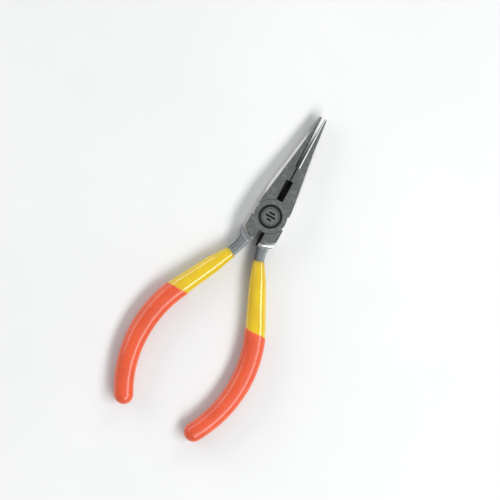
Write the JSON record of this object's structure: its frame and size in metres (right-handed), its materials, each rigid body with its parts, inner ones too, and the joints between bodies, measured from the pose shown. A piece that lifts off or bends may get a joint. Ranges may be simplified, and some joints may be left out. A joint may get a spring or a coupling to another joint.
{
  "type": "long nose fishing pliers",
  "caption": "Long-nose fishing pliers with a riveted lap joint, a wire cutter, toothed tapering jaws and two-colour dipped handles.",
  "frame": {"origin": "where the pivot axis meets the rear ground face of the joint, which the pliers lie on", "axes": "+Z along the pivot axis towards the front face, +Y towards the jaw tips, +X to the right seen from the front"},
  "size_m": [0.0634, 0.1604, 0.009],
  "materials": {
    "forged_steel_front": "ground faces and polished edges, darker forged tang",
    "forged_steel_rear": "ground faces and polished edges, darker forged tang",
    "rivet_steel": "ground flush with the joint",
    "yellow_dip_left": "glossy dipped vinyl",
    "orange_dip_left": "glossy dipped vinyl",
    "yellow_dip_right": "glossy dipped vinyl",
    "orange_dip_right": "glossy dipped vinyl"
  },
  "bodies": {
    "rear_half": {"rear_lever": "forged_steel_rear", "pivot_rivet": "rivet_steel", "right_grip_first_coat": "yellow_dip_right", "right_grip_second_coat": "orange_dip_right"},
    "front_half": {"front_lever": "forged_steel_front", "left_grip_first_coat": "yellow_dip_left", "left_grip_second_coat": "orange_dip_left"}
  },
  "joints": [
    {"name": "jaw_pivot", "type": "hinge", "parent": "rear_half", "child": "front_half", "pos_m": [0, 0, 0], "axis": [0, 0, -1], "range_deg": [-1.6, 40]}
  ]
}
